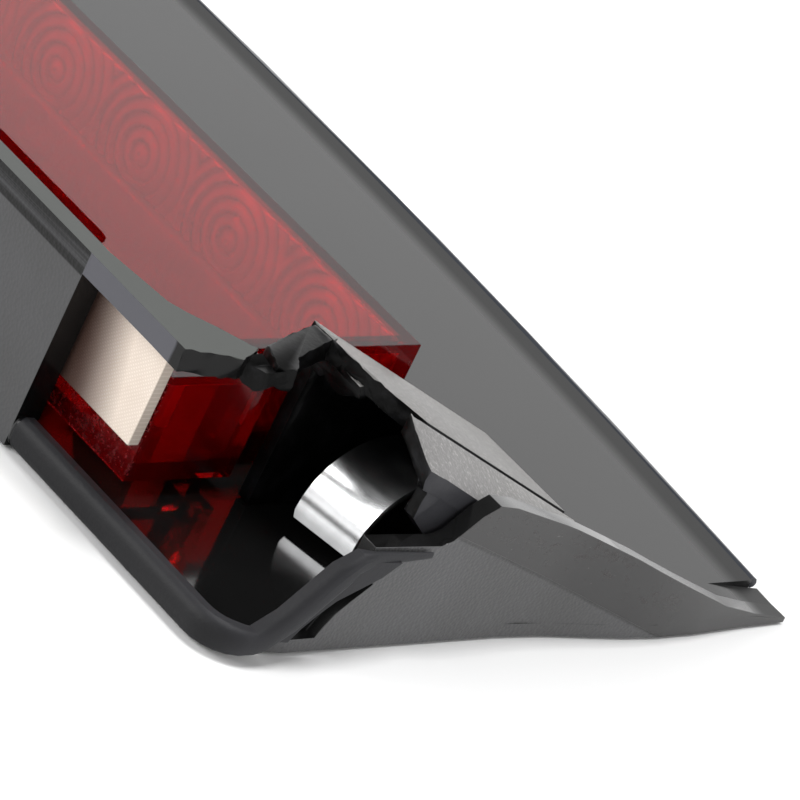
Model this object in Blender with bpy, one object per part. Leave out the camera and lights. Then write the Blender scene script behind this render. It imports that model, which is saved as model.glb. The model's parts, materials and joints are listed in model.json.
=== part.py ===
"""High-mounted rear brake lamp for the inside of a rear window.

A wedge-shaped black shroud lies on its flat base. Its low front edge meets the
window glass, and the light leaves the red lens towards that edge, along +Y.
At each end a sloped guard covers a pocket with a spring-steel clip.

Axes: X runs along the lamp, +Y is the way the light goes, +Z is up.
Sizes below are in millimetres. Y is first counted from the rear face of the
back wall, and placed() moves it so that the origin is the centre of the footprint.
"""
import math

import bmesh
import bpy
from mathutils import Matrix, Vector

MM = 0.001
GAP = 0.3                      # clearance between neighbouring pieces

# Lamps and lens
LED_COUNT = 12
LED_PITCH = 18.4
LED_TO_LENS_END = 15.4
LENS_HALF = ((LED_COUNT - 1) * LED_PITCH + 2 * LED_TO_LENS_END) / 2
LENS_WALL = 1.8
LENS_BACK = 6.3
LENS_STEP_Y = 22.6             # the lens is wider behind this line
LENS_STEP = 4.9
LENS_FRONT = 49.4
LENS_BOTTOM = 4.0
LENS_TOP = 18.2
LED_Z = 11.0

# Shroud
COVER_HALF = LENS_HALF + 32.7
TIP_Y = 93.8                   # front corner of an end wall
FRONT_BOW = 9.0                # how far the front edge bows out at the middle
BASE_THICK = 1.8
END_THICK = 2.4
CORNER_RADIUS = 8.0
SEAL_RADIUS = 0.75
TIP_SOLID = 6.0                # the seal stops this far from the end of the base

# Carrier: back wall, top rail and end rims
WALL_THICK = 3.6
TOTAL_HEIGHT = 26.0
RAIL_DEPTH = 2.8
RAIL_BOTTOM = 23.2
WINDOW_FROM = LENS_HALF - 7.8
RAIL_END = LENS_HALF + 3.5
RIM_OUT = LENS_HALF + 33.0     # outer face of the rims
RIM_FACE = 4.1                 # height of a rim under the window
RIM_BEND = 6.5
RIM_THICK = 2.4

# Guards over the clip pockets
GUARD_IN = LENS_HALF + 5.2
GUARD_OUT = LENS_HALF + 28.4
GUARD_BACK = 23.0
GUARD_FRONT = 61.0
GUARD_FRONT_Z = 9.0
GUARD_THICK = 2.4
SLIT_FROM = LENS_HALF + 20.6
SLIT_OUT = LENS_HALF + 22.2

# Spring clips
CLIP_X = LENS_HALF + 15.6
CLIP_WIDTH = 9.0
CLIP_THICK = 0.8
CLIP_RADIUS = 9.5
CLIP_CENTRE_Y = 38.5
CLIP_CENTRE_Z = 4.0
CLIP_TOE_Z = 3.1
FOOT_Z = 4.9                   # middle of the foot strip, and the flexing line
PIVOT_Y = CLIP_CENTRE_Y + CLIP_RADIUS
FOOT_END_Y = 56.5
SCREW_Y = 52.2

# Board and socket
BOARD_THICK = 1.6
BOARD_BACK = LENS_BACK - GAP - BOARD_THICK
BOARD_BOTTOM = 9.0
BOARD_TOP = RAIL_BOTTOM - GAP
BOARD_HALF = LENS_HALF + 4.9
BOARD_SCREWS_X = (-92.0, -36.8, 36.8, 92.0)
SCREW_Z = 14.6
SOCKET_HALF = 8.0
SOCKET_BACK = -7.0
SOCKET_Z = (9.6, 19.6)
SOCKET_WALL = 1.2

FRONT_Y = TIP_Y + FRONT_BOW
Y_MIDDLE = (SOCKET_BACK + FRONT_Y) / 2

BLACK = (0.012, 0.012, 0.014)
RED = (0.45, 0.004, 0.01)
CREAM = (0.78, 0.72, 0.62)
STEEL = (0.72, 0.72, 0.74)


def start():
    """Empty the scene and make one collection for the parts and one for cutters."""
    for old in list(bpy.data.objects):
        bpy.data.objects.remove(old, do_unlink=True)
    groups = []
    for name in ("third_brake_light", "cutters"):
        group = bpy.data.collections.new(name)
        bpy.context.scene.collection.children.link(group)
        groups.append(group)
    return groups


PARTS, CUTTERS = start()


def material(name, colour, roughness, metallic=0.0):
    made = bpy.data.materials.new(name)
    made.use_nodes = True
    shader = made.node_tree.nodes["Principled BSDF"]
    shader.inputs["Base Color"].default_value = (*colour, 1.0)
    shader.inputs["Roughness"].default_value = roughness
    shader.inputs["Metallic"].default_value = metallic
    return made


GRAINED = material("grained_black", BLACK, 0.6)
GLOSSY = material("smooth_black", BLACK, 0.3)
LENS_RED = material("lens_red", RED, 0.08)
BOARD = material("board_cream", CREAM, 0.55)
SPRING = material("spring_steel", STEEL, 0.12, 1.0)
SCREW = material("zinc_screw", STEEL, 0.35, 1.0)
WHITE = material("white_plastic", (0.8, 0.8, 0.78), 0.4)
RUBBER = material("rubber", (0.015, 0.016, 0.02), 0.7)
GOLD = material("contact_tin", (0.7, 0.68, 0.6), 0.25, 1.0)


def placed(x, y, z):
    """A point in metres, in the lamp's own frame."""
    return Vector((x * MM, (y - Y_MIDDLE) * MM, z * MM))


def new_object(name, mesh, group=PARTS):
    made = bpy.data.objects.new(name, mesh)
    group.objects.link(made)
    if group is CUTTERS:
        made.hide_render = True
        made.display_type = "WIRE"
    return made


def box(name, low, high, group=CUTTERS):
    """A box between two corners."""
    a = placed(*low)
    b = placed(*high)
    mesh = bpy.data.meshes.new(name)
    form = bmesh.new()
    bmesh.ops.create_cube(form, size=1.0)
    bmesh.ops.scale(form, vec=b - a, verts=form.verts)
    bmesh.ops.translate(form, vec=(a + b) / 2, verts=form.verts)
    form.to_mesh(mesh)
    form.free()
    return new_object(name, mesh, group)


def rod(name, centre, radius, length, axis, group=CUTTERS, sides=16):
    """A cylinder about a centre point, along X, Y or Z."""
    turn = {
        "X": Matrix.Rotation(math.pi / 2, 4, "Y"),
        "Y": Matrix.Rotation(math.pi / 2, 4, "X"),
        "Z": Matrix.Identity(4),
    }[axis]
    mesh = bpy.data.meshes.new(name)
    form = bmesh.new()
    bmesh.ops.create_cone(
        form, cap_ends=True, segments=sides, radius1=radius * MM, radius2=radius * MM,
        depth=length * MM, matrix=Matrix.Translation(placed(*centre)) @ turn)
    form.to_mesh(mesh)
    form.free()
    made = new_object(name, mesh, group)
    mesh.shade_smooth()
    mesh.set_sharp_from_angle(angle=math.radians(35))
    return made


def slab(name, outline, low, high, axis, group=CUTTERS):
    """An outline given in two axes, extruded from low to high along the third.

    axis "Z" takes (x, y) points, and axis "X" takes (y, z) points.
    """
    curve = bpy.data.curves.new(name + "_outline", "CURVE")
    curve.dimensions = "2D"
    curve.fill_mode = "BOTH"
    curve.extrude = (high - low) / 2 * MM
    line = curve.splines.new("POLY")
    line.points.add(len(outline) - 1)
    for point, (u, v) in zip(line.points, outline):
        point.co = (u * MM, v * MM, 0.0, 1.0)
    line.use_cyclic_u = True
    drawn = bpy.data.objects.new(name + "_drawn", curve)
    CUTTERS.objects.link(drawn)
    middle = (low + high) / 2
    if axis == "Z":
        drawn.location = placed(0, 0, middle)
    else:
        # local x -> world y, local y -> world z, local z -> world x
        turn = Matrix(((0, 0, 1), (1, 0, 0), (0, 1, 0)))
        drawn.matrix_world = Matrix.Translation(placed(middle, 0, 0)) @ turn.to_4x4()
    bpy.context.view_layer.update()
    seen = drawn.evaluated_get(bpy.context.evaluated_depsgraph_get())
    mesh = bpy.data.meshes.new_from_object(seen)
    mesh.transform(drawn.matrix_world)
    form = bmesh.new()
    form.from_mesh(mesh)
    bmesh.ops.remove_doubles(form, verts=form.verts, dist=0.00001)
    bmesh.ops.recalc_face_normals(form, faces=form.faces)
    form.to_mesh(mesh)
    form.free()
    bpy.data.objects.remove(drawn, do_unlink=True)
    return new_object(name, mesh, group)


def loft(name, rings, group=CUTTERS):
    """A closed solid through rings of (x, y, z) points, all with the same number of points."""
    form = bmesh.new()
    rows = [[form.verts.new(placed(*point)) for point in ring] for ring in rings]
    count = len(rows[0])
    for first, second in zip(rows, rows[1:]):
        for index in range(count):
            after = (index + 1) % count
            form.faces.new((first[index], first[after], second[after], second[index]))
    form.faces.new(rows[0][::-1])
    form.faces.new(rows[-1])
    bmesh.ops.triangulate(form, faces=form.faces)
    bmesh.ops.recalc_face_normals(form, faces=form.faces)
    mesh = bpy.data.meshes.new(name)
    form.to_mesh(mesh)
    form.free()
    return new_object(name, mesh, group)


def boolean(target, others, operation):
    """Join to, cut from or keep the overlap of a target, and drop the other solids."""
    for other in others:
        step = target.modifiers.new(other.name, "BOOLEAN")
        step.operation = operation
        step.object = other
        step.solver = "EXACT"
        bpy.context.view_layer.update()
        seen = target.evaluated_get(bpy.context.evaluated_depsgraph_get())
        result = bpy.data.meshes.new_from_object(seen)
        target.modifiers.clear()
        target.data = result
        bpy.data.objects.remove(other, do_unlink=True)
    return target


def join(target, others):
    return boolean(target, others, "UNION")


def cut(target, others):
    return boolean(target, others, "DIFFERENCE")


def finished(made, finish):
    """Give a solid its material and put it with the parts."""
    made.data.materials.clear()
    made.data.materials.append(finish)
    if made.name in CUTTERS.objects:
        CUTTERS.objects.unlink(made)
        PARTS.objects.link(made)
        made.hide_render = False
        made.display_type = "TEXTURED"
    return made


def arc(centre, radius, start, end, steps):
    """Points on an arc, with angles in degrees."""
    points = []
    for step in range(steps + 1):
        angle = math.radians(start + (end - start) * step / steps)
        points.append((centre[0] + radius * math.cos(angle), centre[1] + radius * math.sin(angle)))
    return points


def front_y(x):
    """Front edge of the base, which bows out between the two tips."""
    return TIP_Y + FRONT_BOW * (1 - (x / COVER_HALF) ** 2)


def end_x(y):
    """Outer face of an end wall: drawn in near the rim, full near the tip."""
    drawn_in = 1.5
    swell = 1.6
    middle = 45.0
    if y < middle:
        return COVER_HALF - drawn_in
    part = (y - middle) / (TIP_Y - middle)
    eased = part * part * (3 - 2 * part)
    return COVER_HALF - drawn_in * (1 - eased) + swell * math.sin(math.pi * part) ** 2


def base_outline(back, inset):
    """Plan of the base, from its rear line round to the bowed front edge."""
    sides = 10
    steps = 28
    right = []
    for step in range(sides + 1):
        y = back + CORNER_RADIUS + (TIP_Y - back - CORNER_RADIUS) * step / sides
        right.append((end_x(y) - inset, min(y, TIP_Y - inset)))
    front = []
    for step in range(1, steps):
        x = (COVER_HALF - inset) * (1 - 2 * step / steps)
        front.append((x, front_y(x) - inset))
    left = [(-x, y) for x, y in reversed(right)]
    corner = arc((end_x(0) - inset - CORNER_RADIUS, back + CORNER_RADIUS), CORNER_RADIUS, -90, 0, 5)[:-1]
    mirrored = [(-x, y) for x, y in reversed(corner)]
    return right + front + left + mirrored + corner


def end_wall(name, side):
    """Fin that rises from the tip to the guard, then drops to the end rim."""
    outer = []
    inner = []
    steps = 14
    back = 14.0
    for step in range(steps + 1):
        y = back + (TIP_Y - back) * step / steps
        outer.append((side * end_x(y), y))
        inner.append((side * (end_x(y) - END_THICK), y))
    plan = slab(name, outer + inner[::-1], 0.0, TOTAL_HEIGHT, "Z")
    profile = [(15.9, 0.0), (TIP_Y, 0.0), (TIP_Y, 0.7), (87.2, 1.9), (81.0, 3.6), (75.2, 5.9),
               (61.6, 11.1), (50.0, 15.0), (38.5, 18.3), (35.5, 18.7), (33.4, 17.4), (30.5, 14.2),
               (29.0, 13.6), (18.5, 14.0), (18.5, 12.0), (20.0, 10.5), (21.0, 8.8), (18.9, 6.7),
               (17.4, 5.0), (16.4, 3.2), (15.7, 1.4)]
    shape = slab(name + "_profile", profile, -COVER_HALF - 5, COVER_HALF + 5, "X")
    wall = boolean(plan, [shape], "INTERSECT")
    backing = [(10.4, 0.7), (24.0, 0.7), (24.0, 11.0), (18.6, 11.0), (12.4, 4.2), (10.4, 2.4)]
    inner_x = end_x(0.0) - END_THICK
    ends = sorted((side * (inner_x - 0.5), side * (inner_x + 0.9)))
    return join(wall, [slab(name + "_backing", backing, *ends, "X")])


def cover():
    """Outer shroud: base, two end walls, lens rest and screw pads."""
    shell = slab("cover", base_outline(WALL_THICK + GAP, 0.0), 0.0, BASE_THICK, "Z")
    seal_room = 2 * SEAL_RADIUS + GAP
    strip = [(x, front_y(x) - seal_room) for x in front_stations(COVER_HALF - TIP_SOLID)]
    strip += [(COVER_HALF - TIP_SOLID, TIP_Y + 20), (-COVER_HALF + TIP_SOLID, TIP_Y + 20)]
    thin = [(TIP_Y - 9.0, BASE_THICK), (TIP_Y + 1.0, 0.4), (TIP_Y + 1.0, 4.0), (TIP_Y - 9.0, 4.0)]
    cuts = [slab("seal_channel", strip, -1.0, BASE_THICK + 1.0, "Z")]
    for low, high in ((-COVER_HALF - 3, -COVER_HALF + TIP_SOLID), (COVER_HALF - TIP_SOLID, COVER_HALF + 3)):
        cuts.append(slab("thin_tip", thin, low, high, "X"))
    shell = cut(shell, cuts)
    more = [end_wall("end_wall_right", 1), end_wall("end_wall_left", -1)]
    more.append(box("lens_rest", (-LENS_HALF + 8, 30, 1.0), (LENS_HALF - 8, 32, LENS_BOTTOM - GAP)))
    for side in (-1, 1):
        centre = (side * CLIP_X, SCREW_Y, (FOOT_Z - CLIP_THICK / 2 - GAP) / 2 + 0.5)
        height = FOOT_Z - CLIP_THICK / 2 - GAP - 1.0
        more.append(rod("screw_pad", centre, 3.8, height, "Z"))
    shell = join(shell, more)
    holes = [rod("pad_hole", (side * CLIP_X, SCREW_Y, 3.4), 1.5, 5.0, "Z") for side in (-1, 1)]
    return finished(cut(shell, holes), GRAINED)


def front_stations(half):
    """X places along the front edge, from left to right."""
    steps = 28
    return [-half + 2 * half * step / steps for step in range(steps + 1)]


def edge_seal():
    """Rubber lip along the front edge, where the shroud meets the glass."""
    reach = COVER_HALF - TIP_SOLID - GAP - 0.2
    curve = bpy.data.curves.new("edge_seal_path", "CURVE")
    curve.dimensions = "3D"
    curve.bevel_depth = SEAL_RADIUS * MM
    curve.bevel_resolution = 2
    curve.use_fill_caps = True
    line = curve.splines.new("POLY")
    stations = front_stations(reach)
    line.points.add(len(stations) - 1)
    for point, x in zip(line.points, stations):
        point.co = (*placed(x, front_y(x) - SEAL_RADIUS, BASE_THICK / 2), 1.0)
    lip = bpy.data.objects.new("edge_seal", curve)
    PARTS.objects.link(lip)
    curve.materials.append(RUBBER)
    return lip


def rim_ring(spot, along, outward, half, thick):
    """Rounded section of the end rim: spot is the middle of its outer face."""
    along = Vector(along).normalized()
    outward = Vector(outward).normalized()
    broad = along.cross(outward)
    crown = 0.55
    ring = []
    steps = 8
    for step in range(steps + 1):
        turn = math.radians(-84 + 168 * step / steps)
        u = math.copysign(abs(math.sin(turn)) ** 0.85, turn)
        v = -crown * (1 - math.cos(turn))
        ring.append(tuple(Vector(spot) + broad * (half * u) + outward * (thick * v)))
    for u in (0.94, -0.94):
        ring.append(tuple(Vector(spot) + broad * (half * u) - outward * thick))
    return ring


def rim(name, side):
    """End rim: follows the foot of the back wall, turns the corner and climbs to the end wall."""
    middle = RIM_FACE / 2
    bend = RIM_BEND
    turn_x = RIM_OUT - bend
    flush = 0.03
    rings = [rim_ring((x, -flush, middle), (1, 0, 0), (0, -1, 0), middle - flush, RIM_THICK)
             for x in (WINDOW_FROM - 2.0, turn_x)]
    steps = 7
    for step in range(1, steps + 1):
        part = step / steps
        angle = math.radians(90 * part)
        spot = (turn_x + bend * math.sin(angle), bend * (1 - math.cos(angle)) - flush * (1 - part),
                middle + 0.5 * part ** 3)
        along = (math.cos(angle), math.sin(angle), 0.9 * part ** 3)
        rings.append(rim_ring(spot, along, (math.sin(angle), -math.cos(angle), 0), middle - 0.35 * part,
                              RIM_THICK))
    climb = (0, 0.64, 0.77)
    for y, z in ((9.6, 4.9), (12.2, 8.0), (14.6, 10.9)):
        rings.append(rim_ring((RIM_OUT, y, z), climb, (1, 0, 0), middle - 0.45, RIM_THICK))
    # beyond the top of the climb the rim thins and fades along the end wall's outer face
    for sunk, y, z, half, thick in ((0.3, 16.4, 12.3, 1.35, 2.1), (0.6, 18.2, 12.8, 1.0, 0.9),
                                    (0.9, 22.5, 12.9, 0.7, 0.5), (1.15, 27.5, 12.8, 0.4, 0.3)):
        rings.append(rim_ring((RIM_OUT - sunk, y, z), (0, 1, 0), (1, 0, 0), half, thick))
    web = [(8.6, 2.6), (10.5, 2.4), (11.6, 4.2), (13.1, 5.9), (15.0, 7.7), (20.4, 10.6), (22.5, 12.5),
           (18.2, 12.8), (15.8, 11.7), (12.2, 7.6)]
    rings = [[(side * x, y, z) for x, y, z in ring] for ring in rings]
    body = loft(name, rings)
    ends = sorted((side * (RIM_OUT - 1.5), side * (RIM_OUT - 0.65)))
    return join(body, [slab(name + "_web", web, *ends, "X")])


def carrier():
    """Back wall with a rail on top, a window at each end and rims round the corners."""
    wall = box("carrier", (-WINDOW_FROM, 0, 0), (WINDOW_FROM, WALL_THICK, RAIL_BOTTOM + 1))
    rail = [(RAIL_END + 6.8, 0), (RAIL_END + 9.0, 7.0), (RAIL_END + 7.2, 10.6), (RAIL_END + 4.0, 8.6),
            (RAIL_END, 5.4), (RAIL_END - 2.1, 4.2), (WINDOW_FROM, RAIL_DEPTH)]
    rail += [(-x, y) for x, y in reversed(rail)]
    more = [slab("rail", rail, RAIL_BOTTOM, TOTAL_HEIGHT, "Z"), rim("rim_right", 1), rim("rim_left", -1)]
    wall = join(wall, more)
    holes = [box("socket_hole", (-SOCKET_HALF - GAP, -2, SOCKET_Z[0] - GAP),
                 (SOCKET_HALF + GAP, 8, SOCKET_Z[1] + GAP))]
    for x in BOARD_SCREWS_X:
        holes.append(rod("driver_hole", (x, 2, SCREW_Z), 3.3, 8, "Y"))
    return finished(cut(wall, holes), GRAINED)


def guard_height(y):
    """Height of the guard's sloped top at a depth."""
    return TOTAL_HEIGHT - (y - GUARD_BACK) * (TOTAL_HEIGHT - GUARD_FRONT_Z) / (GUARD_FRONT - GUARD_BACK)


def guard(name, side):
    """Hood over a clip pocket: a sloped strip, a slit, and a second strip that folds down outside.

    Its back edge is broken off, so it is ragged and has the stub of a rear wall under it.
    """
    def span(low, high):
        return sorted((side * low, side * high))

    def mirrored(points):
        return [(side * x, y, z) for x, y, z in points]

    thick = GUARD_THICK
    front = GUARD_FRONT
    inboard = []
    for x, y in ((0.0, 23.6), (3.0, 23.2), (6.0, 24.0), (9.5, 24.6), (12.0, 26.6), (13.6, 28.8), (15.4, 30.4)):
        x += GUARD_IN
        inboard.append(mirrored([(x, y, guard_height(y)), (x, front, guard_height(front)),
                                 (x, front, guard_height(front) - thick), (x, y, guard_height(y) - thick)]))
    top = loft(name, inboard)
    outboard = []
    for y, drop in ((24.9, 3.3), (28.0, 3.1), (36.0, 3.2), (46.0, 1.7), (front, 0.6)):
        z = guard_height(y)
        low = z - drop
        outboard.append(mirrored([(SLIT_OUT, y, z), (GUARD_OUT, y, low), (GUARD_OUT, y, low - thick),
                                  (SLIT_OUT, y, z - thick)]))
    low = BASE_THICK + GAP
    lip = 0.4
    half = thick / 2
    cheek = [(24.4, low), (front - lip, low), (front - lip, guard_height(front) - half),
             (24.4, guard_height(24.4) - half)]
    skirt = [(25.2, guard_height(25.2) - 4.6), (26.2, 18.6), (25.9, 15.4), (28.4, 13.4), (34.6, 9.4),
             (38.0, low + 1.0), (front - lip, low + 1.0), (front - lip, guard_height(front) - 1.2),
             (46.0, guard_height(46.0) - 3.0), (36.0, guard_height(36.0) - 4.6)]
    wall = [(front - 2.0, low + 0.5), (front - 2 * lip, low + 0.5),
            (front - 2 * lip, guard_height(front) - half - 0.3), (front - 2.0, guard_height(front) - half)]
    web = [(0.4, 1.0), (4.3, -10.0), (8.3, -11.6), (9.4, -9.4), (6.3, -6.5), (3.4, 1.6)]
    web = [(side * (GUARD_IN + x), GUARD_BACK + y) for x, y in web]
    bridge = [mirrored([(x, front - 3.6, guard_height(front - 3.6) - 0.3),
                        (x, front - 0.3, guard_height(front) - 0.3),
                        (x, front - 0.3, guard_height(front) - 1.9),
                        (x, front - 3.6, guard_height(front - 3.6) - 1.9)])
              for x in (SLIT_FROM - 1.4, SLIT_OUT + 1.4)]
    stub = [(1.3, 23.7), (1.3, 20.9), (2.6, 20.6), (4.4, 21.3), (7.0, 20.8), (9.2, 21.9), (10.2, 22.4),
            (9.6, 23.6)]
    stub_rings = [mirrored([(GUARD_IN + x, y, z) for x, z in stub]) for y in (24.1, 26.3)]
    return finished(join(top, [
        loft(name + "_stub", stub_rings),
        loft(name + "_outboard", outboard),
        slab(name + "_web", web, TOTAL_HEIGHT - 3.0, TOTAL_HEIGHT - 0.3, "Z"),
        slab(name + "_cheek", cheek, *span(GUARD_IN + lip, GUARD_IN + 2.2), "X"),
        slab(name + "_skirt", skirt, *span(GUARD_OUT - 1.9, GUARD_OUT - 0.2), "X"),
        slab(name + "_wall", wall, *span(GUARD_IN + 1.0, GUARD_OUT - 1.0), "X"),
        loft(name + "_bridge", bridge)]), GRAINED)


def lens():
    """Red lens: a box open at the back, wider behind, with a slot near each end."""
    plan = [(LENS_HALF + LENS_STEP, LENS_BACK), (LENS_HALF + LENS_STEP, LENS_STEP_Y),
            (LENS_HALF, LENS_STEP_Y), (LENS_HALF, LENS_FRONT)]
    plan += [(-x, y) for x, y in reversed(plan)]
    shell = slab("lens", plan, LENS_BOTTOM, LENS_TOP, "Z")
    room = [(LENS_HALF + LENS_STEP - LENS_WALL, LENS_BACK - 2),
            (LENS_HALF + LENS_STEP - LENS_WALL, LENS_STEP_Y - LENS_WALL),
            (LENS_HALF - LENS_WALL, LENS_STEP_Y - LENS_WALL), (LENS_HALF - LENS_WALL, LENS_FRONT - LENS_WALL)]
    room += [(-x, y) for x, y in reversed(room)]
    shell = cut(shell, [slab("lens_room", room, LENS_BOTTOM + LENS_WALL, LENS_TOP - LENS_WALL, "Z")])
    sill = box("lens_sill", (-LENS_HALF - LENS_STEP + 1, LENS_BACK, LENS_BOTTOM + 1),
               (LENS_HALF + LENS_STEP - 1, LENS_BACK + 1.5, LENS_BOTTOM + 4.2))
    bosses = [rod("boss", (x, LENS_BACK + 4, SCREW_Z), 2.5, 8, "Y", sides=12) for x in BOARD_SCREWS_X]
    shell = join(shell, [sill] + bosses)
    cuts = [rod("boss_hole", (x, LENS_BACK + 2, SCREW_Z), 1.4, 9, "Y", sides=12) for x in BOARD_SCREWS_X]
    for side in (-1, 1):
        near = side * (LENS_HALF - 60)
        far = side * (LENS_HALF - 23)
        ends = sorted((near, far))
        slot = arc((ends[1], 14.8), 2.2, -90, 90, 6) + arc((ends[0], 14.8), 2.2, 90, 270, 6)
        cuts.append(slab("lens_slot", slot, LENS_TOP - LENS_WALL - 1, LENS_TOP + 1, "Z"))
    return finished(cut(shell, cuts), LENS_RED)


def circuit_board():
    board = box("circuit_board", (-BOARD_HALF, BOARD_BACK, BOARD_BOTTOM),
                (BOARD_HALF, BOARD_BACK + BOARD_THICK, BOARD_TOP))
    holes = [rod("board_hole", (x, BOARD_BACK, SCREW_Z), 1.6, 8, "Y", sides=12) for x in BOARD_SCREWS_X]
    return finished(cut(board, holes), BOARD)


def on_board(name, x, z, width, height, tall):
    """A box-shaped component standing on the lens side of the board."""
    front = BOARD_BACK + BOARD_THICK + GAP
    return box(name, (x - width / 2, front, z - height / 2), (x + width / 2, front + tall, z + height / 2))


def led_places():
    return [(index - (LED_COUNT - 1) / 2) * LED_PITCH for index in range(LED_COUNT)]


def electronics():
    """Lamps and the few driver components that share the board with them."""
    for index, x in enumerate(led_places()):
        finished(on_board(f"led_{index + 1}", x, LED_Z, 3.5, 2.8, 1.9), WHITE)
    midway = [x + LED_PITCH / 2 for x in led_places()[1:-1:2]]
    for index, x in enumerate(midway):
        finished(on_board(f"resistor_{index + 1}", x, LED_Z, 3.2, 1.6, 0.6), RUBBER)
    finished(on_board("regulator", 9.2, 14.4, 6.5, 3.4, 1.6), RUBBER)
    finished(on_board("diode", -9.2, 14.4, 4.3, 2.6, 2.1), RUBBER)
    top = BOARD_BACK + BOARD_THICK + GAP
    rod("capacitor", (0, top + 2.5, 14.2), 1.9, 5.0, "Y", PARTS).data.materials.append(SCREW)


def reflector():
    """White strip in front of the board with a round opening for each lamp."""
    strip = box("reflector", (-LENS_HALF + LENS_WALL + 1, 15.6, LENS_BOTTOM + LENS_WALL + GAP),
                (LENS_HALF - LENS_WALL - 1, 17.0, LENS_TOP - LENS_WALL - GAP))
    holes = [rod("lamp_hole", (x, 16, LED_Z), 4.0, 6, "Y", sides=16) for x in led_places()]
    return finished(cut(strip, holes), WHITE)


def socket():
    """Plug socket through the back wall, with its two contacts."""
    back = BOARD_BACK - GAP
    shell = box("connector_socket", (-SOCKET_HALF, SOCKET_BACK, SOCKET_Z[0]),
                (SOCKET_HALF, back, SOCKET_Z[1]))
    cuts = [box("mouth", (-SOCKET_HALF + SOCKET_WALL, SOCKET_BACK - 2, SOCKET_Z[0] + SOCKET_WALL),
                (SOCKET_HALF - SOCKET_WALL, back - 1.4, SOCKET_Z[1] - SOCKET_WALL))]
    pin_z = sum(SOCKET_Z) / 2
    for x in (-2.5, 2.5):
        cuts.append(box("pin_hole", (x - 0.9, -4, pin_z - 0.9), (x + 0.9, back + 2, pin_z + 0.9)))
    finished(cut(shell, cuts), GLOSSY)
    for index, x in enumerate((-2.5, 2.5)):
        pin = box(f"connector_pin_{index + 1}", (x - 0.5, -1.0, pin_z - 0.5), (x + 0.5, back, pin_z + 0.5))
        finished(pin, GOLD)


def pan_screw(name, x, y, z, axis):
    """A pan-head screw: the seat is at the given point and the shank goes along -Z or +Y."""
    if axis == "Z":
        head = rod(name, (x, y, z + 0.8), 2.4, 1.6, "Z")
        shank = rod(name + "_shank", (x, y, z - 1.5), 1.15, 4.0, "Z", sides=12)
        slot = box(name + "_slot", (x - 4, y - 0.3, z + 1.1), (x + 4, y + 0.3, z + 3))
    else:
        head = rod(name, (x, y - 0.8, z), 2.6, 1.6, "Y")
        shank = rod(name + "_shank", (x, y + 2.5, z), 1.05, 6.0, "Y", sides=12)
        slot = box(name + "_slot", (x - 4, y - 3, z - 0.3), (x + 4, y - 1.1, z + 0.3))
    return cut(join(head, [shank]), [slot])


def board_screws():
    seat = BOARD_BACK - GAP
    for index, x in enumerate(BOARD_SCREWS_X):
        finished(pan_screw(f"board_screw_{index + 1}", x, seat, SCREW_Z, "Y"), SCREW)


def strip_outline(middle, thickness):
    """Both sides of a bent strip whose middle line is given."""
    left = []
    right = []
    for index, here in enumerate(middle):
        before = Vector(middle[max(index - 1, 0)])
        after = Vector(middle[min(index + 1, len(middle) - 1)])
        along = (after - before).normalized()
        normal = Vector((-along.y, along.x)) * thickness / 2
        left.append(tuple(Vector(here) + normal))
        right.append(tuple(Vector(here) - normal))
    return left + right[::-1]


def spring_clip(tag, side):
    """Bent steel strip: an arched leaf that flexes at its foot, which a screw holds."""
    ends = sorted((side * (CLIP_X - CLIP_WIDTH / 2), side * (CLIP_X + CLIP_WIDTH / 2)))
    centre = (CLIP_CENTRE_Y, CLIP_CENTRE_Z)
    rise = math.degrees(math.asin((FOOT_Z + GAP - CLIP_CENTRE_Z) / CLIP_RADIUS))
    middle = [(CLIP_CENTRE_Y - CLIP_RADIUS, CLIP_TOE_Z)] + arc(centre, CLIP_RADIUS, 180, rise, 14)
    leaf = slab("clip_leaf_" + tag, strip_outline(middle, CLIP_THICK), *ends, "X")
    pivot = bpy.data.objects.new("clip_pivot_" + tag, None)
    pivot.location = placed(side * CLIP_X, PIVOT_Y, FOOT_Z)
    pivot.empty_display_size = 0.004
    PARTS.objects.link(pivot)
    leaf.data.transform(Matrix.Translation(-pivot.location))
    leaf.parent = pivot
    finished(leaf, SPRING)
    foot = box("clip_foot_" + tag, (ends[0], PIVOT_Y + CLIP_THICK / 2 + GAP, FOOT_Z - CLIP_THICK / 2),
               (ends[1], FOOT_END_Y, FOOT_Z + CLIP_THICK / 2))
    hole = rod("foot_hole", (side * CLIP_X, SCREW_Y, FOOT_Z), 1.5, 5, "Z")
    finished(cut(foot, [hole]), SPRING)
    seat = FOOT_Z + CLIP_THICK / 2 + GAP
    finished(pan_screw("clip_screw_" + tag, side * CLIP_X, SCREW_Y, seat, "Z"), SCREW)


cover()
edge_seal()
carrier()
lens()
circuit_board()
electronics()
reflector()
socket()
board_screws()
for label, direction in (("right", 1), ("left", -1)):
    guard("guard_" + label, direction)
    spring_clip(label, direction)
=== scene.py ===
import json
import math

import bmesh
import bpy
from mathutils import Matrix, Vector, noise


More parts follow.
